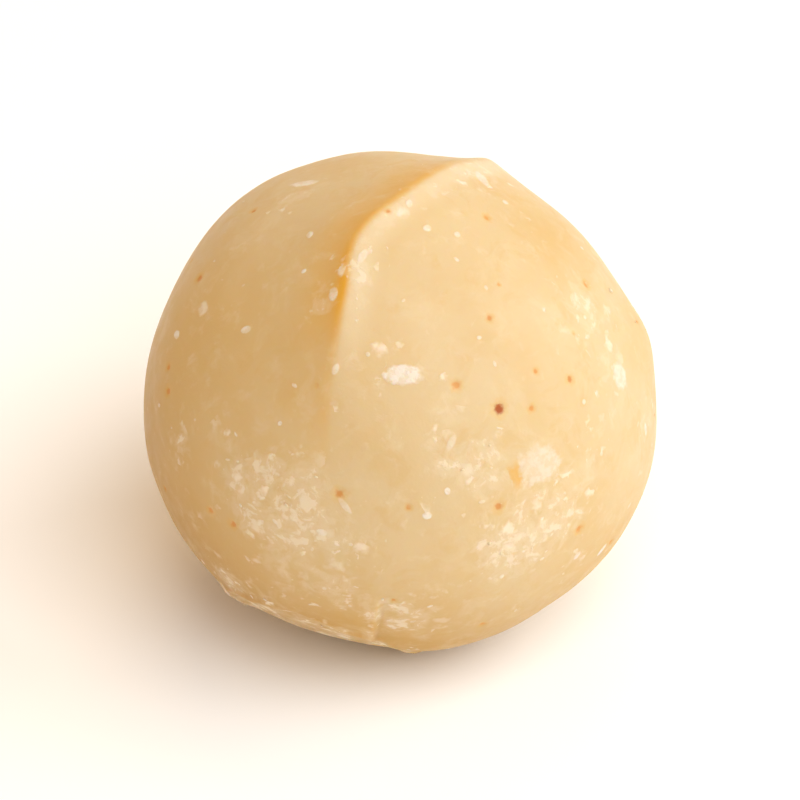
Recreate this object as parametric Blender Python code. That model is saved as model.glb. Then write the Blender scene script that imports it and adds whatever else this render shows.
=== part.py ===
# One shelled macadamia kernel: a nearly round, one-piece body with a pointed tip, a crest that runs
# over it from behind the tip and fades out down the front, and a small flat underneath to rest on.
# Metres, +Z up. Front is -Y. The origin is the middle of the bounding box, on the resting plane.
import math

import bmesh
import bpy
import numpy as np

# Driving dimensions
WIDTH = 0.0190          # the widest way across, along X
FLAT_DEPTH = 0.00055    # how much of the round belly the resting flat takes away
FLAT_RIM = 0.00020      # height over which the flat rolls into the belly
CELLS = 22              # faces along each edge of the cube that is blown up into the body

# Directions are (azimuth, elevation) in degrees: azimuth 0 is +X, 90 is +Y, elevation 90 is straight up.
# Angles on the body (spreads and spans) are in radians, heights and depths are shares of its radius.
CREST_GUIDES = [(60, 5), (62, 25), (55, 55), (54, 69), (37, 87), (-126, 80), (-123, 73), (-115, 64),
                (-111, 52), (-109, 39), (-107, 26), (-105, 13)]
CREST_STEPS = 12        # points read from the crest's curve between two guides
CREST_RADIUS = 0.05     # rounding of the crest's edge
CREST_FADE_IN = 0.35    # length over which the crest rises from the back
CREST_FADE_OUT = 0.62   # share of the crest's length where it starts to fade down the front

# Each side of the crest falls away to a shallow hollow: (depth, span)
LEFT_HOLLOW = (0.066, 0.95)
RIGHT_HOLLOW = (0.036, 1.05)

# Broad swells (+) and flats (-) of the round: (azimuth, elevation, spread, height)
SWELLS = [
    (-13, -12, 0.36, 0.045),    # belly, right
    (4, 14, 0.20, 0.024),
    (28, 35, 0.26, 0.022),      # flank below the tip
    (59, 48, 0.11, 0.012),      # the tip
    (92, 53, 0.30, 0.044),      # shoulders on both sides of the crest
    (-131, 75, 0.60, 0.035),
    (132, 47, 0.26, 0.014),
    (165, 18, 0.26, -0.012),
    (-155, -19, 0.36, 0.006),
    (-110, -41, 0.26, -0.024),  # flattened base, opposite the tip
    (-60, -40, 0.26, 0.008),
    (115, -8, 0.42, -0.016),    # back
    (60, -35, 0.40, 0.012),
]


def direction(azimuth, elevation):
    azimuth, elevation = math.radians(azimuth), math.radians(elevation)
    level = math.cos(elevation)
    return np.array([level * math.cos(azimuth), level * math.sin(azimuth), math.sin(elevation)])


def unit(vectors):
    return vectors / np.linalg.norm(vectors, axis=-1, keepdims=True)


def smoothstep(low, high, value):
    t = np.clip((value - low) / (high - low), 0, 1)
    return t * t * (3 - 2 * t)


def angle_between(directions, centre):
    return np.arccos(np.clip(directions @ centre, -1, 1))


def crest_curve():
    """Directions along the crest, on a Catmull-Rom curve through its guides, from the back to the front."""
    guides = [direction(*guide) for guide in CREST_GUIDES]
    guides = [2 * guides[0] - guides[1], *guides, 2 * guides[-1] - guides[-2]]
    points = []
    for before, start, end, after in zip(guides, guides[1:], guides[2:], guides[3:]):
        for step in range(CREST_STEPS):
            t = step / CREST_STEPS
            bend = 2 * before - 5 * start + 4 * end - after
            twist = 3 * (start - end) + after - before
            points.append(start + 0.5 * ((end - before) * t + bend * t**2 + twist * t**3))
    return unit(np.array(points + [guides[-2]]))


def crest_coordinates(directions):
    """Angle to the crest, positive on its right, and the place along it, from 0 at the back to 1."""
    curve = crest_curve()
    to_right = unit(np.cross(curve, np.gradient(curve, axis=0)))
    steps = np.linalg.norm(np.diff(curve, axis=0), axis=1)
    length = np.concatenate([[0], np.cumsum(steps)])
    cosines = directions @ curve.T
    nearest = cosines.argmax(axis=1)
    gap = np.arccos(np.clip(cosines.max(axis=1), -1, 1))
    side = np.sign(np.sum(directions * to_right[nearest], axis=1))
    return gap * side, length[nearest], length[-1]


def hollow(gap, depth, span):
    """A dip that starts steeply at the crest, is deepest a third of the way out and ends at the span."""
    x = np.clip(gap / span, 0, 1)
    return depth * 6.75 * x * (1 - x) ** 2


def radius(directions):
    """Distance from the body's middle to its surface, as a share of a plain ball's."""
    reach = np.ones(len(directions))
    for azimuth, elevation, spread, height in SWELLS:
        away = angle_between(directions, direction(azimuth, elevation))
        reach += height * np.exp(-((away / spread) ** 2))
    gap, along, length = crest_coordinates(directions)
    fading = smoothstep(CREST_FADE_OUT * length, length, along)
    strength = smoothstep(0, CREST_FADE_IN, along) * (1 - fading)
    edge = CREST_RADIUS * (1 + 2 * fading)
    rounded = np.sqrt(gap**2 + edge**2) - edge
    right = smoothstep(-edge, edge, gap)
    dip = (1 - right) * hollow(rounded, *LEFT_HOLLOW) + right * hollow(rounded, *RIGHT_HOLLOW)
    return reach - strength * dip


def press_flat(points):
    """Puts the resting plane at z = 0 and presses what lies below it flat, with a rolled rim."""
    points[:, 2] -= points[:, 2].min() + FLAT_DEPTH
    height = points[:, 2]
    overlap = np.clip(1 - np.abs(height) / FLAT_RIM, 0, 1)
    points[:, 2] = np.where(height < -FLAT_RIM, 0.0, np.maximum(height, 0) + overlap**2 * FLAT_RIM / 4)
    return points


def ball():
    """A mesh of near-square faces: a gridded cube whose points are spread evenly over a ball."""
    mesh = bmesh.new()
    bmesh.ops.create_cube(mesh, size=2)
    bmesh.ops.subdivide_edges(mesh, edges=mesh.edges, cuts=CELLS - 1, use_grid_fill=True)
    bmesh.ops.recalc_face_normals(mesh, faces=mesh.faces)
    return mesh


def kernel_material():
    material = bpy.data.materials.new("kernel_flesh")
    material.use_nodes = True
    shader = material.node_tree.nodes["Principled BSDF"]
    shader.inputs["Base Color"].default_value = (0.87, 0.66, 0.38, 1)
    shader.inputs["Roughness"].default_value = 0.5
    shader.inputs["Metallic"].default_value = 0.0
    return material


def make_kernel():
    shape = ball()
    grid = np.array([vertex.co for vertex in shape.verts], dtype=float)
    directions = unit(np.tan(grid * math.pi / 4))
    points = directions * radius(directions)[:, None]
    points *= WIDTH / np.ptp(points[:, 0])
    points[:, :2] -= (points[:, :2].max(axis=0) + points[:, :2].min(axis=0)) / 2
    for vertex, point in zip(shape.verts, press_flat(points)):
        vertex.co = point
    mesh = bpy.data.meshes.new("kernel")
    shape.to_mesh(mesh)
    shape.free()
    mesh.shade_smooth()
    mesh.materials.append(kernel_material())
    kernel = bpy.data.objects.new("kernel", mesh)
    bpy.context.scene.collection.objects.link(kernel)
    return kernel


for leftover in list(bpy.data.objects):
    bpy.data.objects.remove(leftover)
make_kernel()
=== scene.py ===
import math

import bmesh
import bpy
import numpy as np
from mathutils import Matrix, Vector


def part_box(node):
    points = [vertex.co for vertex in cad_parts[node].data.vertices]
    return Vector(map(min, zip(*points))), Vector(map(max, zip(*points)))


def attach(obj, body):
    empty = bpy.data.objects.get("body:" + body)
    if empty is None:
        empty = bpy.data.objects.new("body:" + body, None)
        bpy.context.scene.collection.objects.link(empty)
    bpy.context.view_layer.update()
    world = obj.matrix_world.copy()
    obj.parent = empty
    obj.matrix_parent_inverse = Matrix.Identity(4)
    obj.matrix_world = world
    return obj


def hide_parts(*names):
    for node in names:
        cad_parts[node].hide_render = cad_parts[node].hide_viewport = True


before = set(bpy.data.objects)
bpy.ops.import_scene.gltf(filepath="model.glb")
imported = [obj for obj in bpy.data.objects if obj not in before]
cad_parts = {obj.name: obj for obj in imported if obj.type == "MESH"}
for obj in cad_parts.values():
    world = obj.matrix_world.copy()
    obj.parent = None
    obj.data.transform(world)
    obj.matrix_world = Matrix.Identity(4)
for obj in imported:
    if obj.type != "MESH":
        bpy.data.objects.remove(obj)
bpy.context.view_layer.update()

print("frame loaded:", ", ".join(sorted(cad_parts)))

mmPerMetre = 1000.0
fullTurn = 360.0    # degrees


# Directions are (azimuth, elevation) in degrees: azimuth 0 is +X, -90 is the front, elevation 90 is up.
def direction(azimuth, elevation):
    azimuth, elevation = math.radians(azimuth), math.radians(elevation)
    level = math.cos(elevation)
    return np.array([level * math.cos(azimuth), level * math.sin(azimuth), math.sin(elevation)])


def unit(vectors):
    return vectors / np.linalg.norm(vectors, axis=-1, keepdims=True)


def smoothstep(low, high, value):
    t = np.clip((value - low) / (high - low), 0, 1)
    return t * t * (3 - 2 * t)


def plateau(value, start, full, fade, end):
    return smoothstep(start, full, value) * (1 - smoothstep(fade, end, value))


def angleTo(directions, azimuth, elevation):
    return np.arccos(np.clip(directions @ direction(azimuth, elevation), -1, 1))


def addObject(name, data):
    holder = bpy.data.objects.new(name, data)
    bpy.context.scene.collection.objects.link(holder)
    return holder


# The kernel's body. Spreads, spans and widths are angles on it in radians, and heights, depths and drops
# are shares of its radius.
kernelShape = {
    "cells": 128,             # faces along each edge of the gridded cube that is blown up into the body
    "flatDepth": 0.00055,     # how much of the round belly the resting flat takes away, in metres
    "flatRim": 0.0002,        # height over which the flat rolls into the belly
    # The crest runs over the body from behind the tip and fades out down the front.
    "crestGuides": [(60, 5), (62, 25), (55, 55), (54, 69), (37, 87), (-126, 80), (-123, 73), (-115, 64),
                    (-111, 52), (-109, 39), (-107, 26), (-105, 13)],
    "crestSteps": 24,         # points read from the crest's curve between two guides
    "crestEdge": 0.022,       # rounding of the crest's edge
    "fadeIn": 0.35,           # length over which the crest rises from the back
    "fadeOut": 0.70,          # share of its length where it starts to fade down the front
    "fadeBlunting": 5,        # rounding that its edge gains as it fades, in times crestEdge
    "tipRounding": (1.25, 0.25),    # where along the crest its edge is blunter, and over what length
    "leftHollow": (0.066, 0.95),    # depth and span of the hollow on each side of the crest
    "rightHollow": (0.036, 1.05),
    "lipGroove": (0.0035, 0.16),    # a tighter groove right under the crest, on its left
    # Broad swells (+) and flats (-): azimuth, elevation, spread, height
    "swells": [
        (-13, -12, 0.36, 0.045),
        (4, 14, 0.20, 0.024),
        (28, 35, 0.26, 0.022),
        (59, 48, 0.14, 0.009),
        (92, 53, 0.30, 0.044),
        (-131, 75, 0.60, 0.035),
        (132, 47, 0.26, 0.014),
        (165, 18, 0.26, -0.012),
        (-155, -19, 0.36, 0.006),
        (-110, -41, 0.26, -0.024),
        (-60, -40, 0.26, 0.008),
        (115, -8, 0.42, -0.016),
        (60, -35, 0.40, 0.012),
        (-28, -30, 0.20, 0.016),
        (-141, -36, 0.07, 0.022),
        (-158, 30, 0.16, -0.008),
        (-166, -6, 0.12, 0.006),
        (34, 58, 0.12, 0.007),
    ],
    "base": (-121, -48),      # middle of the rough base, opposite the tip
    "baseRim": 0.40,          # angle out to the base's torn rim
    # Waves that tear the rim: how many go around, their height as a share of its angle, and their turn
    "rimTears": [(3, 0.035, 0.5), (7, 0.03, 2), (17, 0.02, 0)],
    "rimLip": 0.010,          # how far the rim stands up
    "lipWidth": 0.022,
    "lipWave": (5, 0.4, 1),   # the lip rises and falls: how many times, by what share, and its turn
    "baseSink": 0.010,        # how deep the base lies inside the rim
    "sinkEdge": (-0.05, 0.01),      # where the base starts to rise and is level, measured out from the rim
    # The suture that runs up from the base: the skin on its left lies lower
    "seamEnds": [(-96, -34), (-93, -8)],
    "seamDrop": 0.019,
    "seamWidth": 0.26,              # how far to the left the drop reaches
    "seamEdge": (-0.014, 0.010),    # the step itself, across the seam
    "seamSpan": (-0.25, 0.1, 0.55, 1.1),    # it starts, is full, fades and ends, from one end to the other
}


def crestCurve(shape):
    # directions on a Catmull-Rom curve through the guides, from the back to the front
    guides = [direction(*guide) for guide in shape["crestGuides"]]
    guides = [2 * guides[0] - guides[1], *guides, 2 * guides[-1] - guides[-2]]
    points = []
    for before, start, end, after in zip(guides, guides[1:], guides[2:], guides[3:]):
        for step in range(shape["crestSteps"]):
            t = step / shape["crestSteps"]
            bend = 2 * before - 5 * start + 4 * end - after
            twist = 3 * (start - end) + after - before
            points.append(start + 0.5 * ((end - before) * t + bend * t**2 + twist * t**3))
    return unit(np.array(points + [guides[-2]]))


def crestCoordinates(directions, shape):
    # angle from the crest, positive on its right, the way along it from the back, and its whole length
    curve = crestCurve(shape)
    tangent = unit(np.gradient(curve, axis=0))
    toRight = unit(np.cross(curve, tangent))
    length = np.concatenate([[0], np.cumsum(np.linalg.norm(np.diff(curve, axis=0), axis=1))])
    nearest = (directions.astype(np.float32) @ curve.T.astype(np.float32)).argmax(axis=1)
    gap = np.arcsin(np.clip(np.sum(directions * toRight[nearest], axis=1), -1, 1))
    ahead = np.arctan2(np.sum(directions * tangent[nearest], axis=1),
                       np.sum(directions * curve[nearest], axis=1))
    return gap, np.clip(length[nearest] + ahead, 0, length[-1]), length[-1]


def hollow(gap, depth, span):
    fullDepth = 6.75    # brings the deepest place, a third of the way out, to the given depth
    x = np.clip(gap / span, 0, 1)
    return depth * fullDepth * x * (1 - x) ** 2


def baseRelief(directions, shape):
    axis = direction(*shape["base"])
    away = angleTo(directions, *shape["base"])
    side = unit(np.cross(axis, [0, 0, 1]))
    around = np.arctan2(directions @ np.cross(axis, side), directions @ side)
    torn = 1
    for count, height, turn in shape["rimTears"]:
        torn = torn + height * np.sin(count * around + turn)
    rim = shape["baseRim"] * torn
    count, height, turn = shape["lipWave"]
    lip = np.exp(-(((away - rim) / shape["lipWidth"]) ** 2))
    lip *= 1 - height + height * np.sin(count * around + turn)
    inner, outer = shape["sinkEdge"]
    sink = 1 - smoothstep(rim + inner, rim + outer, away)
    return shape["rimLip"] * lip - shape["baseSink"] * sink


def seamStep(directions, shape):
    lower, upper = (direction(*end) for end in shape["seamEnds"])
    across = unit(np.cross(upper, lower))    # points to the left of the seam
    left = directions @ across
    along = (directions - lower) @ (upper - lower) / np.sum((upper - lower) ** 2)
    span = plateau(along, *shape["seamSpan"])
    front = directions @ lower > 0           # not on the far side, where the same planes pass
    step = smoothstep(*shape["seamEdge"], left) * np.exp(-((left / shape["seamWidth"]) ** 2))
    return -shape["seamDrop"] * span * front * step


def bodyRadius(directions, shape):
    reach = np.ones(len(directions))
    for azimuth, elevation, spread, height in shape["swells"]:
        reach += height * np.exp(-((angleTo(directions, azimuth, elevation) / spread) ** 2))
    gap, along, length = crestCoordinates(directions, shape)
    fading = smoothstep(shape["fadeOut"] * length, length, along)
    strength = smoothstep(0, shape["fadeIn"], along) * (1 - fading)
    tip, tipSpan = shape["tipRounding"]
    blunt = np.exp(-(((along - tip) / tipSpan) ** 2))
    edge = shape["crestEdge"] * (1 + blunt + shape["fadeBlunting"] * fading)
    rounded = np.sqrt(gap**2 + edge**2) - edge
    right = smoothstep(-edge, edge, gap)
    left = hollow(rounded, *shape["leftHollow"]) + hollow(rounded, *shape["lipGroove"])
    dip = (1 - right) * left + right * hollow(rounded, *shape["rightHollow"])
    return reach - strength * dip + baseRelief(directions, shape) + seamStep(directions, shape)


def meshPoints(mesh):
    points = np.empty(len(mesh.vertices) * 3)
    mesh.vertices.foreach_get("co", points)
    return points.reshape(-1, 3)


def gridBall(cells):
    ball = bmesh.new()
    bmesh.ops.create_cube(ball, size=2)
    bmesh.ops.subdivide_edges(ball, edges=ball.edges, cuts=cells - 1, use_grid_fill=True)
    bmesh.ops.recalc_face_normals(ball, faces=ball.faces)
    mesh = bpy.data.meshes.new("kernelBody")
    ball.to_mesh(mesh)
    ball.free()
    grid = meshPoints(mesh)
    return mesh, unit(np.tan(grid * math.pi / 4))    # the tangent spreads them evenly over the ball


def pressFlat(points, shape):
    # sets the resting plane at z = 0 and rolls the flat's rim into the belly with a parabola
    points[:, 2] -= points[:, 2].min() + shape["flatDepth"]
    height, rim = points[:, 2], shape["flatRim"]
    overlap = np.clip(1 - np.abs(height) / rim, 0, 1)
    points[:, 2] = np.where(height < -rim, 0.0, np.maximum(height, 0) + overlap**2 * rim / 4)
    return points


def storeAttribute(mesh, name, values):
    mesh.attributes.new(name, "FLOAT", "POINT").data.foreach_set("value", np.ravel(values))


def patchField(directions, patches):
    field = np.zeros(len(directions))
    for azimuth, elevation, spread, strength in patches:
        field += strength * np.exp(-((angleTo(directions, azimuth, elevation) / spread) ** 2))
    return field


# Where the skin is chalky, golden or tan, with painted shade among them: azimuth, elevation, spread in
# radians, strength
skinPatches = {
    "bloom": [
        (-126, 14, 0.13, 0.9), (-114, 17, 0.12, 0.8), (-110, 6, 0.12, 0.9), (-124, 3, 0.13, 0.7),
        (-104, -8, 0.12, 0.7), (-96, -16, 0.10, 0.8), (-118, -10, 0.12, 0.45), (-134, -22, 0.12, 1.0),
        (-88, -26, 0.09, 1.0), (-116, 10, 0.16, 0.4), (-98, 6, 0.12, 0.4), (-120, -22, 0.10, 0.3),
        (-67, 0, 0.13, 0.9), (-58, -4, 0.13, 0.9), (-48, 2, 0.12, 0.8), (-44, -14, 0.10, 0.6),
        (-56, 10, 0.12, 0.5), (-38, 12, 0.14, 0.5), (-72, 20, 0.12, 0.5), (-80, -12, 0.10, 0.5),
        (-77, 27, 0.10, 0.7), (-66, 22, 0.12, 0.5), (-12, 41, 0.11, 0.8), (-2, 56, 0.09, 0.5),
        (-150, 12, 0.08, 0.9), (-24, 24, 0.12, 0.4), (-14, 4, 0.10, 0.6),
        (-89, -15, 0.05, 1.0), (-89, -24, 0.05, 1.0), (-141, -35, 0.09, 1.0), (-84, -20, 0.08, 0.7),
        (-120, 16, 0.20, 0.35), (-60, 4, 0.20, 0.35), (-20, 36, 0.16, 0.5),
        (-115, 67, 0.06, 0.9), (-122, 58, 0.05, 0.8), (44, 62, 0.10, 0.9), (151, 62, 0.08, 0.9),
        (-90, 46, 0.10, 0.4), (-166, 40, 0.10, 0.4),
        (30, -10, 0.20, 0.7), (75, 12, 0.22, 0.8), (110, -20, 0.26, 0.7), (160, -12, 0.22, 0.8),
        (140, 20, 0.16, 0.6), (-20, -40, 0.22, 0.6), (60, -50, 0.30, 0.6), (20, 30, 0.12, 0.5),
    ],
    # golden patches: partly the kernel's own golden tone, partly painted warm shade and bounce on the left,
    # underneath, beside the seam and at the upper right
    "goldAndPaintedShade": [
        (-165, 22, 0.50, 0.55), (-148, -18, 0.45, 0.80), (-105, -34, 0.40, 0.75), (-128, 45, 0.35, 0.25),
        (-50, -45, 0.45, 0.45), (180, -40, 0.5, 0.4), (60, -60, 0.6, 0.5), (140, 10, 0.5, 0.3),
        (-104, -25, 0.12, 0.4), (-22, -26, 0.25, 0.6), (2, 0, 0.18, 0.4), (18, 20, 0.18, 0.4),
        (11, 50, 0.22, 0.45), (-85, -40, 0.28, 0.5),
    ],
    # tan patches are painted shade: darker flesh on the lower left and underneath, where light falls less
    "tan": [
        (-152, -24, 0.42, 0.85), (-118, -42, 0.42, 0.75), (-60, -50, 0.40, 0.5), (-172, 2, 0.30, 0.40),
        (150, -45, 0.6, 0.5), (60, -60, 0.6, 0.5),
    ],
}


# Tints along the crest and on the base. The glow is painted light, an amber glow of scattered light under
# the crest and at its corner, and the pale lip is a painted highlight along the crest's lit edge; the base
# tint brings real chalk. Gaps are angles from the crest's edge, minus on its left, and ways are shares of
# its length. A row of four gives where it starts, is full, starts to fade and ends.
tints = {
    "glowGap": (-0.30, -0.02, -0.02, 0.02),
    "glowWay": (0.36, 0.44, 0.84, 1.0),
    "glowDim": (0.72, 0.80, 0.6),       # it dims between these ways, by this share
    "glowStrength": 0.6,
    "line": (-0.012, 0.03, 0.16),       # a line in the glow: gap, width, strength
    "corner": (0.685, 0.045, 0.45),     # where the crest bends down the front, how wide, added strength
    "paleGap": (-0.005, 0.025, 0.04, 0.15),
    "paleWay": (0.10, 0.25, 0.66, 0.90),
    "baseFade": (-0.08, 0.10),          # the base's tint fades between these angles from its rim
}


def storeTints(mesh, directions, shape):
    for name, patches in skinPatches.items():
        storeAttribute(mesh, name, patchField(directions, patches))
    gap, along, length = crestCoordinates(directions, shape)
    way = along / length
    # the glow is painted light under the crest and at its corner, and the pale lip a painted highlight
    # along its edge
    lineGap, lineWidth, lineStrength = tints["line"]
    bend, bendWidth, bendStrength = tints["corner"]
    dimStart, dimEnd, dim = tints["glowDim"]
    line = np.exp(-(((gap - lineGap) / lineWidth) ** 2))
    line *= lineStrength + bendStrength * np.exp(-(((way - bend) / bendWidth) ** 2))
    glow = plateau(way, *tints["glowWay"]) * (1 - dim * smoothstep(dimStart, dimEnd, way))
    glow *= tints["glowStrength"] * plateau(gap, *tints["glowGap"]) + line
    storeAttribute(mesh, "paintedCrestGlow", glow)
    storeAttribute(mesh, "crestHighlightAndChalk", plateau(gap, *tints["paleGap"]) * plateau(way, *tints["paleWay"]))
    fromRim = angleTo(directions, *shape["base"]) - shape["baseRim"]
    storeAttribute(mesh, "base", 1 - smoothstep(*tints["baseFade"], fromRim))


def makeBody(shape):
    mesh, directions = gridBall(shape["cells"])
    points = directions * bodyRadius(directions, shape)[:, None]
    low, high = (np.array(corner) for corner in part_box("kernel"))
    points *= (high[0] - low[0]) / np.ptp(points[:, 0])
    middle = (points[:, :2].max(axis=0) + points[:, :2].min(axis=0)) / 2
    points[:, :2] += (low + high)[:2] / 2 - middle
    mesh.vertices.foreach_set("co", pressFlat(points, shape).ravel())
    storeTints(mesh, directions, shape)
    mesh.shade_smooth()
    mesh.update()
    return addObject("kernelBody", mesh)


# Short ways to add nodes
nodeGrid = {"perRow": 10, "stepX": 220, "stepY": 320}    # where new nodes go in the node editor


def setSocket(tree, socket, value):
    if isinstance(value, bpy.types.NodeSocket):
        tree.links.new(value, socket)
    else:
        socket.default_value = value


def addNode(tree, kind, inputs=None, **settings):
    node = tree.nodes.new(kind)
    row, column = divmod(len(tree.nodes), nodeGrid["perRow"])
    node.location = (column * nodeGrid["stepX"], -row * nodeGrid["stepY"])
    for name, value in settings.items():
        setattr(node, name, value)
    for socket, value in (inputs or {}).items():
        setSocket(tree, node.inputs[socket], value)
    return node


def mathNode(tree, operation, *values):
    return addNode(tree, "ShaderNodeMath", dict(enumerate(values)), operation=operation).outputs[0]


def vectorMath(tree, operation, *values, scale=None):
    inputs = dict(enumerate(values))
    if scale is not None:
        inputs["Scale"] = scale
    node = addNode(tree, "ShaderNodeVectorMath", inputs, operation=operation)
    return node.outputs["Value" if operation in ("DISTANCE", "LENGTH", "DOT_PRODUCT") else "Vector"]


def remap(tree, value, low, high, toLow=0.0, toHigh=1.0):
    inputs = {"Value": value, "From Min": low, "From Max": high, "To Min": toLow, "To Max": toHigh}
    return addNode(tree, "ShaderNodeMapRange", inputs, interpolation_type="SMOOTHSTEP").outputs["Result"]


def noise(tree, place, scale, detail=3.0, roughness=0.5, distortion=0.0):
    inputs = {"Vector": place, "Scale": scale, "Detail": detail, "Roughness": roughness,
              "Distortion": distortion}
    return addNode(tree, "ShaderNodeTexNoise", inputs).outputs[0]


def wander(tree, place, scale, reach):
    # a noise vector around zero
    drift = addNode(tree, "ShaderNodeTexNoise", {"Vector": place, "Scale": scale, "Detail": 2.0}).outputs[1]
    return vectorMath(tree, "SCALE", vectorMath(tree, "SUBTRACT", drift, (0.5, 0.5, 0.5)), scale=reach)


def product(tree, first, *others):
    for other in others:
        first = mathNode(tree, "MULTIPLY", first, other)
    return first


def toMm(tree, place):
    return vectorMath(tree, "SCALE", place, scale=mmPerMetre)


def blend(tree, factor, first, second):
    node = addNode(tree, "ShaderNodeMix", {0: factor}, data_type="RGBA")
    for socket, colour in ((6, first), (7, second)):
        setSocket(tree, node.inputs[socket], (*colour, 1.0) if isinstance(colour, tuple) else colour)
    return node.outputs[2]


def readAttribute(tree, name, output="Fac"):
    return addNode(tree, "ShaderNodeAttribute", attribute_name=name).outputs[output]


def newMaterial(name):
    material = bpy.data.materials.new(name)
    material.use_nodes = True
    return material, material.node_tree.nodes["Principled BSDF"]


def objectMm(tree):
    return toMm(tree, addNode(tree, "ShaderNodeTexCoord").outputs["Object"])


def dress(tree, shader, colour, roughness, height):
    # the height is in mm, and the bump node's distance is one mm
    bump = addNode(tree, "ShaderNodeBump", {"Strength": 1.0, "Distance": 1 / mmPerMetre, "Height": height})
    tree.links.new(colour, shader.inputs["Base Color"])
    tree.links.new(roughness, shader.inputs["Roughness"])
    tree.links.new(bump.outputs[0], shader.inputs["Normal"])


# Colours and finish of the flesh. A noise is given as its waves per mm, detail, roughness and distortion,
# a range as where it starts and where it is full, and then how strong it gets.
flesh = {
    "cream": (0.66, 0.51, 0.29),
    # gold is the kernel's golden tone, and through the golden patches it also paints warm shade
    "gold": (0.61, 0.375, 0.105),
    # tan is a painted shade colour, laid on the lower left and underneath
    "tan": (0.46, 0.265, 0.075),
    # amber is the painted glow under the crest, and the real amber of scuff rims and pinhole rings
    "amber": (0.70, 0.38, 0.045),
    # pale is the colour of real pale wisps and of a painted highlight along the crest's lit edge
    "pale": (0.72, 0.60, 0.40),
    "chalk": (0.79, 0.69, 0.53),
    "scuff": (0.76, 0.69, 0.59),
    "pinholeDark": (0.40, 0.080, 0.004),
    "pinholeLight": (0.72, 0.31, 0.05),
    # golden cloudiness, in broad clouds and finer wisps, and pale wisps over it
    "cloud": ((0.24, 4, 0.55, 0.3), (0.38, 0.68), 0.30),
    "wisps": ((0.75, 4, 0.6, 0.8), (0.46, 0.70), 0.28),
    "paleWisps": ((0.8, 5, 0.6, 0.5), (0.50, 0.72), 0.30),
    "paintedCrestGlow": 0.95,              # strength of the painted amber glow under the crest
    "crestHighlightAndChalk": 0.7,               # and of the pale lip on its other side, a painted highlight
    # chalky bloom
    "islands": (1.5, 4, 0.58, 0.4),
    "islandLevel": (0.73, 0.47),    # noise above which there is an island, with no bloom and full bloom
    "fullBloom": 1.1,
    "islandEdge": ((0.0, 0.14), 0.72),
    "veilEdge": ((-0.16, 0.05), 0.24),      # a thin veil around the islands
    "crestBloom": 0.55,
    "baseBloom": 0.9,
    "flecks": [(1.35, 0.75), (2.5, 0.55)],  # round flecks: cells per mm, share of the cells with a fleck
    "fleckBend": (3.0, 0.6),        # noise that bends them: waves per mm, by how many mm
    "fleckSize": (0.20, 0.55),
    "fleckEdge": (0.20, 1.10),
    "fleckStrength": (0.35, 0.95),
    # scuffs: an edge of 1 is the scuff's own outline, before it is torn
    "scuffTear": ((2.4, 3, 0.6), 0.9),
    "scuffEdge": (0.62, 1.02),
    "scuffWorn": ((3.2, 4, 0.6), (0.38, 0.58), 0.55),   # noise, range, strength where it is most worn
    "rimInside": (0.80, 1.05),
    "rimOutside": (1.10, 1.5),
    "rimSide": ((-1.0, -0.5), 0.6),     # the amber rim is on one side only
    "rimEnds": (0.2, 0.75),
    # pinholes: an edge of 1 is the pinhole's own size
    "pinRagged": ((6.0, 2, 0.5), 1.2, 0.4),     # noise, how much it counts, and the least size
    "pinCore": (0.45, 1.10),
    "pinCoreStrength": (0.60, 0.35),    # of an orange pinhole, and what a dark brown one adds
    "pinRing": ((0.9, 2.2), 0.26),
    # surface: heights are in mm, and the scatter depth is in metres
    "roughNoise": ((1.3, 4, 0.6), (0.3, 0.7)),
    "roughness": (0.42, 0.56),
    "chalkRoughness": 0.30,
    "bumps": ((2.2, 5, 0.55), 0.016),
    "grain": ((11.0, 2, 0.5), 0.003),
    "chalkHeight": 0.022,
    "ior": 1.46,
    "specular": 0.35,
    "scatter": 0.75,
    "scatterDepth": 0.0010,
    "scatterColour": (1.0, 0.55, 0.26),
}


def mottle(tree, mm, pattern, span, strength):
    return remap(tree, noise(tree, mm, *pattern), *span, 0.0, strength)


def fleckMask(tree, mm, density, share):
    # one round fleck in a cell of a Voronoi pattern; only the given share of the cells has one
    bent = vectorMath(tree, "ADD", mm, wander(tree, mm, *flesh["fleckBend"]))
    cells = addNode(tree, "ShaderNodeTexVoronoi", {"Vector": bent, "Scale": density})
    chance = addNode(tree, "ShaderNodeSeparateColor", {0: cells.outputs["Color"]}).outputs
    size = remap(tree, chance[1], 0.0, 1.0, *flesh["fleckSize"])
    fleck = mathNode(tree, "DIVIDE", cells.outputs["Distance"], size)
    fleck = remap(tree, fleck, *flesh["fleckEdge"], 1.0, 0.0)
    chosen = mathNode(tree, "LESS_THAN", chance[0], share)
    return product(tree, fleck, chosen, remap(tree, chance[2], 0.0, 1.0, *flesh["fleckStrength"]))


def fleshColour(tree, mm):
    # broad cloudiness, a golden tint that is partly the kernel's own tone and partly painted warm shade,
    # painted shade in the tan patches, a painted amber glow under the crest and a pale lip beside it that
    # is a painted highlight
    cloud = mathNode(tree, "MAXIMUM", mottle(tree, mm, *flesh["cloud"]), mottle(tree, mm, *flesh["wisps"]))
    colour = blend(tree, cloud, flesh["cream"], flesh["gold"])
    colour = blend(tree, readAttribute(tree, "goldAndPaintedShade"), colour, flesh["gold"])
    # painted shade: the tan patches darken the lower left and the underside
    colour = blend(tree, readAttribute(tree, "tan"), colour, flesh["tan"])
    glow = product(tree, readAttribute(tree, "paintedCrestGlow"), flesh["paintedCrestGlow"])
    colour = blend(tree, glow, colour, flesh["amber"])
    lip = product(tree, readAttribute(tree, "crestHighlightAndChalk"), flesh["crestHighlightAndChalk"])
    pale = mathNode(tree, "MAXIMUM", mottle(tree, mm, *flesh["paleWisps"]), lip)
    return blend(tree, pale, colour, flesh["pale"])


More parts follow.
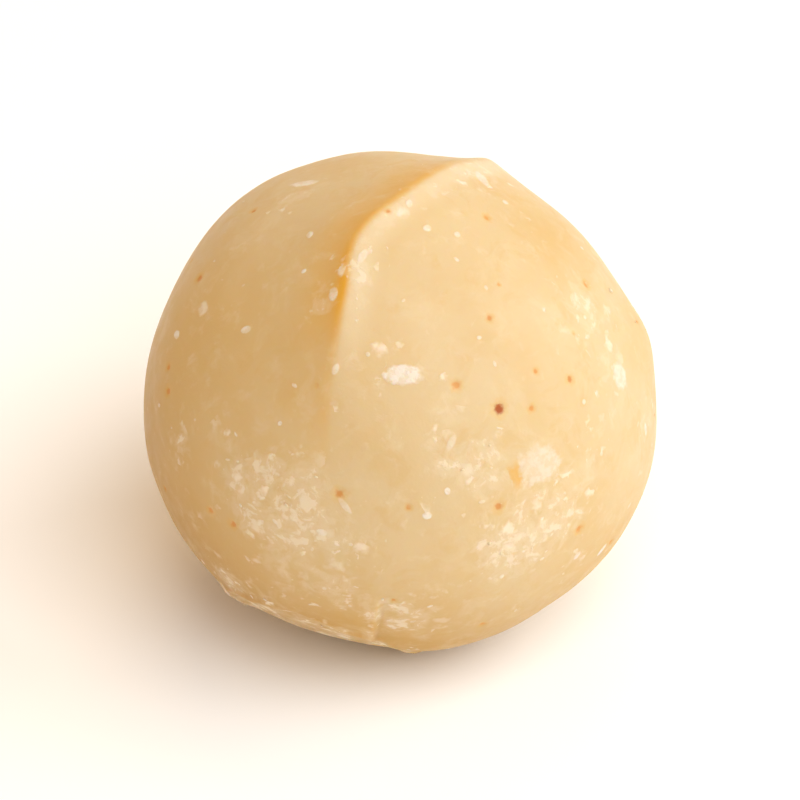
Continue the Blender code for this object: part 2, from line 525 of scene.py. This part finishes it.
def bloomMask(tree, mm):
    # soft islands with round flecks among them, the denser the stronger the bloom
    # the pale lip is a painted highlight along the crest, and here it also brings real chalk along it
    lip = readAttribute(tree, "crestHighlightAndChalk")
    field = mathNode(tree, "MULTIPLY_ADD", lip, flesh["crestBloom"], readAttribute(tree, "bloom"))
    field = mathNode(tree, "MAXIMUM", field, product(tree, readAttribute(tree, "base"), flesh["baseBloom"]))
    level = remap(tree, field, 0.0, flesh["fullBloom"], *flesh["islandLevel"])
    islands = mathNode(tree, "SUBTRACT", noise(tree, mm, *flesh["islands"]), level)
    (start, full), strength = flesh["veilEdge"]
    veil = remap(tree, islands, start, full, 0.0, strength)
    (start, full), strength = flesh["islandEdge"]
    mask = mathNode(tree, "MAXIMUM", veil, remap(tree, islands, start, full, 0.0, strength))
    for density, share in flesh["flecks"]:
        mask = mathNode(tree, "MAXIMUM", mask, fleckMask(tree, mm, density, product(tree, field, share)))
    return mask


def scuffMasks(tree, mm):
    # pale flecks with a torn edge, some with an amber rim on one side
    offset = vectorMath(tree, "SUBTRACT", mm, readAttribute(tree, "scuffPlace", "Vector"))
    across = vectorMath(tree, "DOT_PRODUCT", offset, readAttribute(tree, "scuffAlong", "Vector"))
    up = vectorMath(tree, "DOT_PRODUCT", offset, readAttribute(tree, "scuffAcross", "Vector"))
    share = vectorMath(tree, "LENGTH", addNode(tree, "ShaderNodeCombineXYZ", {0: across, 1: up}).outputs[0])
    pattern, tear = flesh["scuffTear"]
    torn = mathNode(tree, "MULTIPLY_ADD", noise(tree, mm, *pattern), tear, -tear / 2)
    share = mathNode(tree, "ADD", share, torn)
    near = readAttribute(tree, "scuffNear")
    pattern, span, least = flesh["scuffWorn"]
    worn = remap(tree, noise(tree, mm, *pattern), *span, least, 1.0)
    scuff = remap(tree, share, *flesh["scuffEdge"], 1.0, 0.0)
    scuff = product(tree, scuff, worn, readAttribute(tree, "scuffStrength"), near)
    (start, full), strength = flesh["rimSide"]
    ends = remap(tree, mathNode(tree, "ABSOLUTE", up), *flesh["rimEnds"], 1.0, 0.0)
    rim = product(tree, remap(tree, share, *flesh["rimInside"]),
                  remap(tree, share, *flesh["rimOutside"], 1.0, 0.0),
                  remap(tree, across, start, full, strength, 0.0),
                  ends, readAttribute(tree, "scuffRim"), near)
    return scuff, rim


def pinholeMasks(tree, mm):
    # a core that is darker the higher its tone, with a soft ring
    away = vectorMath(tree, "DISTANCE", mm, readAttribute(tree, "pinPlace", "Vector"))
    pattern, ragged, least = flesh["pinRagged"]
    ragged = mathNode(tree, "MULTIPLY_ADD", noise(tree, mm, *pattern), ragged, least)
    share = mathNode(tree, "DIVIDE", away, product(tree, readAttribute(tree, "pinSize"), ragged))
    tone = readAttribute(tree, "pinTone")
    near = readAttribute(tree, "pinNear")
    orange, darker = flesh["pinCoreStrength"]
    core = product(tree, remap(tree, share, *flesh["pinCore"], 1.0, 0.0),
                   mathNode(tree, "MULTIPLY_ADD", tone, darker, orange), near)
    (start, end), strength = flesh["pinRing"]
    return core, product(tree, remap(tree, share, start, end, strength, 0.0), near), tone


def fleshMaterial():
    material, shader = newMaterial("kernelFlesh")
    tree = material.node_tree
    mm = objectMm(tree)
    bloom = bloomMask(tree, mm)
    scuff, rim = scuffMasks(tree, mm)
    core, ring, tone = pinholeMasks(tree, mm)
    colour = blend(tree, bloom, fleshColour(tree, mm), flesh["chalk"])
    colour = blend(tree, rim, colour, flesh["amber"])
    colour = blend(tree, scuff, colour, flesh["scuff"])
    colour = blend(tree, ring, colour, flesh["amber"])
    pinhole = blend(tree, tone, flesh["pinholeLight"], flesh["pinholeDark"])
    colour = blend(tree, core, colour, pinhole)

    chalky = mathNode(tree, "MAXIMUM", bloom, scuff)
    pattern, span = flesh["roughNoise"]
    rough = remap(tree, noise(tree, mm, *pattern), *span, *flesh["roughness"])
    rough = mathNode(tree, "MULTIPLY_ADD", chalky, flesh["chalkRoughness"], rough)
    pattern, strength = flesh["bumps"]
    height = product(tree, noise(tree, mm, *pattern), strength)
    height = mathNode(tree, "MULTIPLY_ADD", chalky, flesh["chalkHeight"], height)
    pattern, strength = flesh["grain"]
    height = mathNode(tree, "MULTIPLY_ADD", noise(tree, mm, *pattern), strength, height)
    dress(tree, shader, colour, rough, height)
    shader.inputs["IOR"].default_value = flesh["ior"]
    shader.inputs["Specular IOR Level"].default_value = flesh["specular"]
    shader.inputs["Subsurface Weight"].default_value = flesh["scatter"]
    shader.inputs["Subsurface Radius"].default_value = flesh["scatterColour"]
    shader.inputs["Subsurface Scale"].default_value = flesh["scatterDepth"]
    return material


# Relief, pinholes and scuffs of the skin, made by Geometry Nodes. Sizes, heights and depths are in mm,
# and a mark's size is measured from its middle to its edge.
skinRelief = {
    "Ripple Size": 4.5,          # from one soft dent to the next
    "Ripple Height": 0.17,
    "Grain Size": 1.2,
    "Grain Height": 0.025,
    "Pinhole Spacing": 2.2,      # least distance between two scattered pinholes
    "Pinhole Density": 0.032,    # how many per square mm, at most
    "Pinhole Smallest": 0.07,
    "Pinhole Largest": 0.14,
    "Pit Depth": 0.05,
    "Scuff Spacing": 1.1,
    "Scuff Density": 0.35,
    "Scuff Smallest": 0.06,
    "Scuff Largest": 0.17,
    "Scuff Height": 0.02,
    "Seed": 11,
}

# How the marks spread and sit in the skin. Edges and distances are in sizes of the mark, so 1 is its edge.
markEdges = {
    "pit": (0.3, 1.6),           # the pit is full out to the first and ends at the second
    "raised": (0.6, 1.3),
    "pinNear": (2.0, 2.6),       # a mark stops colouring the skin between these distances
    "scuffNear": (1.2, 1.6),
    "pinClear": 5.0,             # a scattered mark stays this far from a placed one
    "scuffClear": 2.6,
    "toneSpan": (0.0, 0.45),     # tones of the scattered pinholes
    "strengthSpan": (0.35, 0.95),    # strengths of the scattered scuffs
    "thinning": (0.1, 0.8, 0.25),    # bloom from none to full, and the share of scuffs where there is none
    "scuffSeed": 7.0,            # added to the seed, so that scuffs and pinholes don't fall together
    "flatKept": (0.02, 0.8),     # heights in mm over which the relief sets in above the resting flat
}

# Pinholes placed one by one: azimuth, elevation, size in mm, tone (0 orange, 1 dark brown)
placedPinholes = [
    (-62, 32, 0.22, 1.0), (-73, 40, 0.17, 0.1), (-38, 30, 0.15, 0.4), (-47, 36, 0.10, 0.2),
    (-53, 29, 0.13, 0.2), (-5, 39, 0.16, 0.2), (2, 69, 0.15, 0.1), (-53, 52, 0.13, 0.3),
    (-67, 9, 0.18, 0.3), (-45, -7, 0.18, 0.2), (-104, 15, 0.20, 0.3), (180, 36, 0.17, 0.4),
    (-161, 15, 0.16, 0.3), (-165, 19, 0.13, 0.3), (-137, -2, 0.16, 0.2), (-130, -2, 0.16, 0.3),
    (-88, 12, 0.12, 0.2),
]

# Scuffs placed one by one: azimuth, elevation, length and width in mm, turn in degrees, strength, amber rim
placedScuffs = [
    (-89, 43.5, 0.78, 0.40, -8, 1.2, 0), (-55, 15.5, 1.02, 0.92, 0, 0.64, 1),
    (-20, 20, 0.60, 0.50, 80, 0.75, 0), (-166, 67, 0.20, 0.16, 0, 0.9, 0),
    (-148, 41, 0.26, 0.15, 50, 0.8, 0), (-169, 26, 0.22, 0.18, 10, 0.9, 0),
    (-121, 59, 0.30, 0.24, -40, 0.8, 0), (-110, 43, 0.26, 0.14, 80, 0.7, 0),
    (-115, 70, 0.36, 0.16, 60, 0.7, 0), (-32, 74, 0.16, 0.14, 20, 0.8, 0),
    (-37, 87, 0.24, 0.14, 30, 0.8, 0), (-53, 79, 0.20, 0.18, 0, 0.8, 0),
    (-84, 10, 0.20, 0.18, 0, 1.0, 0), (-16, 2, 0.28, 0.14, 75, 0.9, 0),
    (-44, -16, 0.22, 0.16, 60, 0.9, 0), (-34, -21, 0.34, 0.18, 50, 0.9, 0),
    (140, 58, 0.62, 0.22, 114, 0.85, 0), (-108, 4, 0.26, 0.16, 0, 0.8, 0),
    (41, 64, 0.50, 0.24, 10, 0.7, 0), (-77, 27, 0.36, 0.16, 55, 0.5, 0),
    (-103, 12, 0.40, 0.14, -50, 0.6, 0),
]


def surfacePoints(body, places):
    points = meshPoints(body.data)
    middle = (points.max(axis=0) + points.min(axis=0)) / 2
    rays = unit(points - middle)
    return [points[(rays @ direction(azimuth, elevation)).argmax()] for azimuth, elevation in places]


def makeMarks(name, body, marks, fields):
    # a point on the body for each mark, which carries the mark's measures
    spots = surfacePoints(body, [mark[:2] for mark in marks])
    mesh = bpy.data.meshes.new(name)
    mesh.from_pydata([tuple(spot) for spot in spots], [], [])
    for column, field in enumerate(fields, start=2):
        storeAttribute(mesh, field, [mark[column] for mark in marks])
    return addObject(name, mesh)


def startTree(name, inputs):
    tree = bpy.data.node_groups.new(name, "GeometryNodeTree")
    tree.is_modifier = True
    tree.interface.new_socket("Geometry", in_out="INPUT", socket_type="NodeSocketGeometry")
    tree.interface.new_socket("Geometry", in_out="OUTPUT", socket_type="NodeSocketGeometry")
    kinds = {int: "NodeSocketInt", float: "NodeSocketFloat", bpy.types.Object: "NodeSocketObject",
             bpy.types.Material: "NodeSocketMaterial"}
    for label, value in inputs.items():
        tree.interface.new_socket(label, in_out="INPUT", socket_type=kinds[type(value)])
    return tree, addNode(tree, "NodeGroupInput").outputs


def applyTree(holder, tree, inputs, name):
    modifier = holder.modifiers.new(tree.name, "NODES")
    modifier.node_group = tree
    for socket in tree.interface.items_tree:
        if socket.in_out == "INPUT" and socket.name in inputs:
            modifier[socket.identifier] = inputs[socket.name]
    graph = bpy.context.evaluated_depsgraph_get()
    mesh = bpy.data.meshes.new_from_object(holder.evaluated_get(graph))
    holder.modifiers.remove(modifier)
    mesh.name = name
    return addObject(name, mesh)


def endTree(tree, geometry, material):
    solid = addNode(tree, "GeometryNodeRealizeInstances", {0: geometry}).outputs[0]
    dressed = addNode(tree, "GeometryNodeSetMaterial", {"Geometry": solid, "Material": material}).outputs[0]
    addNode(tree, "NodeGroupOutput", {0: dressed})


def storeOn(tree, geometry, name, value, kind="FLOAT"):
    inputs = {"Geometry": geometry, "Name": name, "Value": value}
    node = addNode(tree, "GeometryNodeStoreNamedAttribute", inputs, data_type=kind, domain="POINT")
    return node.outputs[0]


def named(tree, name, kind="FLOAT"):
    return addNode(tree, "GeometryNodeInputNamedAttribute", {"Name": name}, data_type=kind).outputs[0]


def roll(tree, low, high, seed):
    inputs = {2: low, 3: high, "Seed": seed}
    return addNode(tree, "FunctionNodeRandomValue", inputs, data_type="FLOAT").outputs[1]


def scatter(tree, body, spacing, density, seed, fields, factor=1.0):
    # the spacing comes in mm, and the density in points per square mm
    inputs = {"Mesh": body, "Distance Min": product(tree, spacing, 1 / mmPerMetre),
              "Density Max": product(tree, density, mmPerMetre**2), "Density Factor": factor, "Seed": seed}
    node = addNode(tree, "GeometryNodeDistributePointsOnFaces", inputs, distribute_method="POISSON")
    points = storeOn(tree, node.outputs["Points"], "up", node.outputs["Normal"], "FLOAT_VECTOR")
    for step, (field, low, high) in enumerate(fields):
        drawn = roll(tree, low, high, mathNode(tree, "ADD", seed, float(step)))
        points = storeOn(tree, points, field, drawn)
    return points


def placed(tree, body, holder):
    points = addNode(tree, "GeometryNodeObjectInfo", {"Object": holder}).outputs["Geometry"]
    points = addNode(tree, "GeometryNodeMeshToPoints", {"Mesh": points}).outputs[0]
    normal = addNode(tree, "GeometryNodeInputNormal").outputs[0]
    return storeOn(tree, points, "up", fromNearest(tree, body, normal, "FLOAT_VECTOR"), "FLOAT_VECTOR")


def fromNearest(tree, source, value, kind="FLOAT"):
    nearest = addNode(tree, "GeometryNodeSampleNearest", {"Geometry": source}, domain="POINT").outputs[0]
    inputs = {"Geometry": source, "Value": value, "Index": nearest}
    return addNode(tree, "GeometryNodeSampleIndex", inputs, data_type=kind, domain="POINT").outputs[0]


def join(tree, *parts):
    node = addNode(tree, "GeometryNodeJoinGeometry")
    for part in parts:
        tree.links.new(part, node.inputs[0])
    return node.outputs[0]


def positionMm(tree):
    return toMm(tree, addNode(tree, "GeometryNodeInputPosition").outputs[0])


def keepAway(tree, points, others, sizeName, times):
    # drops the points that lie within so many times its size of one of the others
    mm = positionMm(tree)
    gap = vectorMath(tree, "DISTANCE", mm, fromNearest(tree, others, mm, "FLOAT_VECTOR"))
    reach = product(tree, fromNearest(tree, others, named(tree, sizeName)), times)
    close = mathNode(tree, "LESS_THAN", gap, reach)
    return addNode(tree, "GeometryNodeDeleteGeometry", {"Geometry": points, "Selection": close}).outputs[0]


def scuffAxes(tree, points):
    # two directions in the skin, each divided by the scuff's size that way
    up = named(tree, "up", "FLOAT_VECTOR")
    level = vectorMath(tree, "NORMALIZE", vectorMath(tree, "CROSS_PRODUCT", (0.0, 0.0, 1.0), up))
    rising = vectorMath(tree, "CROSS_PRODUCT", up, level)
    turn = mathNode(tree, "RADIANS", named(tree, "turn"))
    cosine = mathNode(tree, "COSINE", turn)
    sine = mathNode(tree, "SINE", turn)
    sides = [("scuffAlong", cosine, sine, "length"),
             ("scuffAcross", product(tree, sine, -1.0), cosine, "width")]
    for name, first, second, size in sides:
        axis = vectorMath(tree, "ADD", vectorMath(tree, "SCALE", level, scale=first),
                          vectorMath(tree, "SCALE", rising, scale=second))
        axis = vectorMath(tree, "SCALE", axis, scale=mathNode(tree, "DIVIDE", 1.0, named(tree, size)))
        points = storeOn(tree, points, name, axis, "FLOAT_VECTOR")
    return points


def pinholePoints(tree, body, given):
    # scattered pinholes join the placed ones
    byHand = placed(tree, body, given["Pinholes"])
    fields = [("pinSize", given["Pinhole Smallest"], given["Pinhole Largest"]),
              ("pinTone", *markEdges["toneSpan"])]
    points = scatter(tree, body, given["Pinhole Spacing"], given["Pinhole Density"], given["Seed"], fields)
    points = join(tree, byHand, keepAway(tree, points, byHand, "pinSize", markEdges["pinClear"]))
    return storeOn(tree, points, "pinPlace", positionMm(tree), "FLOAT_VECTOR")


def scuffPoints(tree, body, given):
    # scattered scuffs, the more the stronger the bloom, join the placed ones
    byHand = placed(tree, body, given["Scuffs"])
    start, full, least = markEdges["thinning"]
    denser = remap(tree, named(tree, "bloom"), start, full, least, 1.0)
    fields = [("length", given["Scuff Smallest"], given["Scuff Largest"]),
              ("width", given["Scuff Smallest"], given["Scuff Largest"]),
              ("turn", 0.0, fullTurn),
              ("scuffStrength", *markEdges["strengthSpan"])]
    seed = mathNode(tree, "ADD", given["Seed"], markEdges["scuffSeed"])
    points = scatter(tree, body, given["Scuff Spacing"], given["Scuff Density"], seed, fields, denser)
    points = join(tree, byHand, keepAway(tree, points, byHand, "length", markEdges["scuffClear"]))
    points = storeOn(tree, points, "scuffPlace", positionMm(tree), "FLOAT_VECTOR")
    return scuffAxes(tree, points)


def keepNearest(tree, body, marks, vectors, numbers):
    # every point of the body keeps these measures of the mark nearest to it
    for kind, names in (("FLOAT_VECTOR", vectors), ("FLOAT", numbers)):
        for name in names:
            body = storeOn(tree, body, name, fromNearest(tree, marks, named(tree, name, kind), kind), kind)
    return body


def wave(tree, size, height, detail):
    # noise around zero that is one size from wave to wave
    pattern = noise(tree, positionMm(tree), mathNode(tree, "DIVIDE", 1.0, size), detail)
    return product(tree, mathNode(tree, "SUBTRACT", pattern, 0.5), height)


def skinTree(inputs):
    tree, given = startTree("kernelSkin", inputs)
    body = keepNearest(tree, given["Geometry"], pinholePoints(tree, given["Geometry"], given),
                       ["pinPlace"], ["pinSize", "pinTone"])
    body = keepNearest(tree, body, scuffPoints(tree, given["Geometry"], given),
                       ["scuffPlace", "scuffAlong", "scuffAcross"], ["scuffStrength", "scuffRim"])

    # distances to the nearest pinhole and scuff, in sizes of the mark
    mm = positionMm(tree)
    away = vectorMath(tree, "DISTANCE", mm, named(tree, "pinPlace", "FLOAT_VECTOR"))
    pinShare = mathNode(tree, "DIVIDE", away, named(tree, "pinSize"))
    away = vectorMath(tree, "SUBTRACT", mm, named(tree, "scuffPlace", "FLOAT_VECTOR"))
    across = vectorMath(tree, "DOT_PRODUCT", away, named(tree, "scuffAlong", "FLOAT_VECTOR"))
    up = vectorMath(tree, "DOT_PRODUCT", away, named(tree, "scuffAcross", "FLOAT_VECTOR"))
    scuffShare = addNode(tree, "ShaderNodeCombineXYZ", {0: across, 1: up}).outputs[0]
    scuffShare = vectorMath(tree, "LENGTH", scuffShare)
    body = storeOn(tree, body, "pinNear", remap(tree, pinShare, *markEdges["pinNear"], 1.0, 0.0))
    body = storeOn(tree, body, "scuffNear", remap(tree, scuffShare, *markEdges["scuffNear"], 1.0, 0.0))

    # soft dents, a fine grain, the pits and the raised scuffs, all along the normal
    relief = mathNode(tree, "ADD", wave(tree, given["Ripple Size"], given["Ripple Height"], detail=1.0),
                      wave(tree, given["Grain Size"], given["Grain Height"], detail=3.0))
    pit = product(tree, remap(tree, pinShare, *markEdges["pit"], 1.0, 0.0), given["Pit Depth"])
    relief = mathNode(tree, "SUBTRACT", relief, pit)
    raised = product(tree, remap(tree, scuffShare, *markEdges["raised"], 1.0, 0.0), given["Scuff Height"])
    relief = mathNode(tree, "ADD", relief, raised)
    height = addNode(tree, "ShaderNodeSeparateXYZ", {0: mm}).outputs[2]
    relief = product(tree, relief, remap(tree, height, *markEdges["flatKept"]))
    normal = addNode(tree, "GeometryNodeInputNormal").outputs[0]
    offset = vectorMath(tree, "SCALE", normal, scale=product(tree, relief, 1 / mmPerMetre))
    body = addNode(tree, "GeometryNodeSetPosition", {"Geometry": body, "Offset": offset}).outputs[0]
    endTree(tree, body, given["Material"])
    return tree


# Dried crumbs of flesh that cling to the skin. Sizes are in mm, from a crumb's middle to its edge.
crumbs = {
    "Crumb Spacing": 0.5,       # least distance between two crumbs
    "Crumb Density": 1.6,       # how many per square mm, at most
    "Smallest": 0.035,
    "Largest": 0.11,
    "Thickness": 0.4,           # share of a crumb's width
    "Seed": 5,
}

# Where crumbs gather and how they look. A noise is given as it is for the flesh.
crumbFinish = {
    "lift": 0.75,               # how far its middle stands above the skin, as a share of half its height
    "clumps": ((0.9, 4), (0.50, 0.64), 1.0),
    "bloomSpan": (0.2, 0.9, 0.03),    # bloom from none to full, and the share of crumbs where there is none
    "aboveFlat": (0.3, 0.8),    # heights in mm from which there are crumbs
    "wobble": (8.0, 0.1),       # noise that makes a crumb uneven: waves per mm, by how many mm
    "pale": (0.78, 0.70, 0.54),
    "dull": (0.72, 0.60, 0.40),
    "dullPatches": ((1.5,), (0.35, 0.65), 1.0),
    "bumps": ((9.0, 4, 0.6), 0.02),
    "roughNoise": ((6.0,), (0.3, 0.7)),
    "roughness": (0.7, 0.9),
    "specular": 0.2,
}


def crumbShape():
    lump = bmesh.new()
    bmesh.ops.create_icosphere(lump, subdivisions=1, radius=1.0)
    bmesh.ops.translate(lump, verts=lump.verts, vec=(0, 0, crumbFinish["lift"]))
    mesh = bpy.data.meshes.new("crumbShape")
    lump.to_mesh(mesh)
    lump.free()
    return addObject("crumbShape", mesh)


def crumbMaterial():
    material, shader = newMaterial("driedCrumbs")
    tree = material.node_tree
    mm = objectMm(tree)
    patches = mottle(tree, mm, *crumbFinish["dullPatches"])
    colour = blend(tree, patches, crumbFinish["pale"], crumbFinish["dull"])
    pattern, span = crumbFinish["roughNoise"]
    rough = remap(tree, noise(tree, mm, *pattern), *span, *crumbFinish["roughness"])
    pattern, strength = crumbFinish["bumps"]
    dress(tree, shader, colour, rough, product(tree, noise(tree, mm, *pattern), strength))
    shader.inputs["Specular IOR Level"].default_value = crumbFinish["specular"]
    return material


def crumbPoints(tree, given):
    # crumbs gather in clumps where the bloom is strong, with none under the flat
    mm = positionMm(tree)
    height = addNode(tree, "ShaderNodeSeparateXYZ", {0: mm}).outputs[2]
    start, full, least = crumbFinish["bloomSpan"]
    clumps = product(tree, mottle(tree, mm, *crumbFinish["clumps"]),
                     remap(tree, named(tree, "bloom"), start, full, least, 1.0),
                     remap(tree, height, *crumbFinish["aboveFlat"]))
    fields = [("length", given["Smallest"], given["Largest"]),
              ("width", given["Smallest"], given["Largest"]),
              ("turn", 0.0, fullTurn)]
    return scatter(tree, given["Geometry"], given["Crumb Spacing"], given["Crumb Density"], given["Seed"],
                   fields, clumps)


def crumbTree(inputs):
    tree, given = startTree("skinCrumbs", inputs)
    up = named(tree, "up", "FLOAT_VECTOR")
    upright = addNode(tree, "FunctionNodeAlignRotationToVector", {"Vector": up}, axis="Z").outputs[0]
    turn = mathNode(tree, "RADIANS", named(tree, "turn"))
    spin = addNode(tree, "ShaderNodeCombineXYZ", {2: turn}).outputs[0]
    spin = addNode(tree, "FunctionNodeEulerToRotation", {0: spin}).outputs[0]
    turned = addNode(tree, "FunctionNodeRotateRotation", {0: upright, 1: spin}, rotation_space="LOCAL")
    length = named(tree, "length")
    width = named(tree, "width")
    thickness = product(tree, width, given["Thickness"])
    size = addNode(tree, "ShaderNodeCombineXYZ", {0: length, 1: width, 2: thickness}).outputs[0]
    size = vectorMath(tree, "SCALE", size, scale=1 / mmPerMetre)
    lump = addNode(tree, "GeometryNodeObjectInfo", {"Object": given["Crumb"]}).outputs["Geometry"]
    lumps = addNode(tree, "GeometryNodeInstanceOnPoints",
                    {"Points": crumbPoints(tree, given), "Instance": lump, "Rotation": turned.outputs[0],
                     "Scale": size}).outputs[0]
    solid = addNode(tree, "GeometryNodeRealizeInstances", {0: lumps}).outputs[0]
    scale, reach = crumbFinish["wobble"]
    wobble = wander(tree, positionMm(tree), scale, reach / mmPerMetre)
    solid = addNode(tree, "GeometryNodeSetPosition", {"Geometry": solid, "Offset": wobble}).outputs[0]
    endTree(tree, solid, given["Material"])
    return tree


# Floor, light and camera. Lengths are in metres.
studio = {
    "floorSize": 4.0,
    "floorColour": (0.98, 0.98, 0.98),
    "floorRoughness": 0.9,
    "floorSpecular": 0.1,
    "worldColour": (1.0, 0.78, 0.59),
    "worldStrength": 0.54,
    # softboxes: name, place, size, power in watts, colour
    "lights": [
        ("keySoftbox", (0.19, -0.33, 0.54), 0.50, 2.94, (0.90, 0.96, 1.0)),
        ("sideSoftbox", (0.60, 0.03, 0.37), 0.50, 2.5, (0.90, 0.96, 1.0)),
        ("warmSoftbox", (0.02, 0.36, 0.58), 0.35, 0.85, (1.0, 0.70, 0.36)),
    ],
    "cameraElevation": 39.5,
    "cameraDistance": 0.34,
    "kernelShare": 0.64,       # how much of the frame's width the kernel takes
    "aimDrop": 0.0004,         # the camera looks this far below the kernel's middle
    "sensor": 36.0,            # width in mm
    "clipStart": 0.01,
}


def makeFloor():
    half = studio["floorSize"] / 2
    corners = [(-half, -half, 0), (half, -half, 0), (half, half, 0), (-half, half, 0)]
    mesh = bpy.data.meshes.new("paperFloor")
    mesh.from_pydata(corners, [], [(0, 1, 2, 3)])
    material, shader = newMaterial("paperFloor")
    shader.inputs["Base Color"].default_value = (*studio["floorColour"], 1.0)
    shader.inputs["Roughness"].default_value = studio["floorRoughness"]
    shader.inputs["Specular IOR Level"].default_value = studio["floorSpecular"]
    mesh.materials.append(material)
    floor = addObject("paperFloor", mesh)


def aim(holder, place, target):
    holder.location = place
    holder.rotation_euler = (Vector(target) - Vector(place)).to_track_quat("-Z", "Y").to_euler()


def makeLights(middle):
    for name, place, size, power, colour in studio["lights"]:
        light = bpy.data.lights.new(name, "AREA")
        light.size = size
        light.energy = power
        light.color = colour
        aim(addObject(name, light), place, middle)
    world = bpy.data.worlds.new("studioAir")
    world.use_nodes = True
    background = world.node_tree.nodes["Background"]
    background.inputs["Color"].default_value = (*studio["worldColour"], 1.0)
    background.inputs["Strength"].default_value = studio["worldStrength"]
    bpy.context.scene.world = world


def makeCamera(middle, width):
    camera = bpy.data.cameras.new("studioCamera")
    camera.sensor_width = studio["sensor"]
    camera.lens = studio["sensor"] * studio["cameraDistance"] / (width / studio["kernelShare"])
    camera.clip_start = studio["clipStart"]
    holder = addObject("studioCamera", camera)
    tilt = math.radians(studio["cameraElevation"])
    back = Vector((0, -math.cos(tilt), math.sin(tilt)))
    target = middle - Vector((0, 0, studio["aimDrop"]))
    aim(holder, target + back * studio["cameraDistance"], target)
    bpy.context.scene.camera = holder


low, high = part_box("kernel")
body = makeBody(kernelShape)
print("body shaped:", len(body.data.polygons), "faces")

pinholeMarks = makeMarks("pinholeMarks", body, placedPinholes, ["pinSize", "pinTone"])
scuffFields = ["length", "width", "turn", "scuffStrength", "scuffRim"]
scuffMarks = makeMarks("scuffMarks", body, placedScuffs, scuffFields)
skinInputs = {**skinRelief, "Pinholes": pinholeMarks, "Scuffs": scuffMarks, "Material": fleshMaterial()}
kernelFlesh = applyTree(body, skinTree(skinInputs), skinInputs, "kernelFlesh")
kernelFlesh.data.shade_smooth()
print("skin relief, pinholes and scuffs done")

lump = crumbShape()
crumbInputs = {**crumbs, "Crumb": lump, "Material": crumbMaterial()}
skinCrumbs = applyTree(kernelFlesh, crumbTree(crumbInputs), crumbInputs, "skinCrumbs")
skinCrumbs.data.shade_smooth()
print("crumbs done:", len(skinCrumbs.data.polygons), "faces")

for helper in (body, pinholeMarks, scuffMarks, lump):
    bpy.data.objects.remove(helper)

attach(kernelFlesh, "root")
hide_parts("kernel")
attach(skinCrumbs, "root")

makeFloor()
makeLights((low + high) / 2)
makeCamera((low + high) / 2, high.x - low.x)
bpy.context.scene.view_settings.view_transform = "Standard"
print("floor, lights and camera placed")
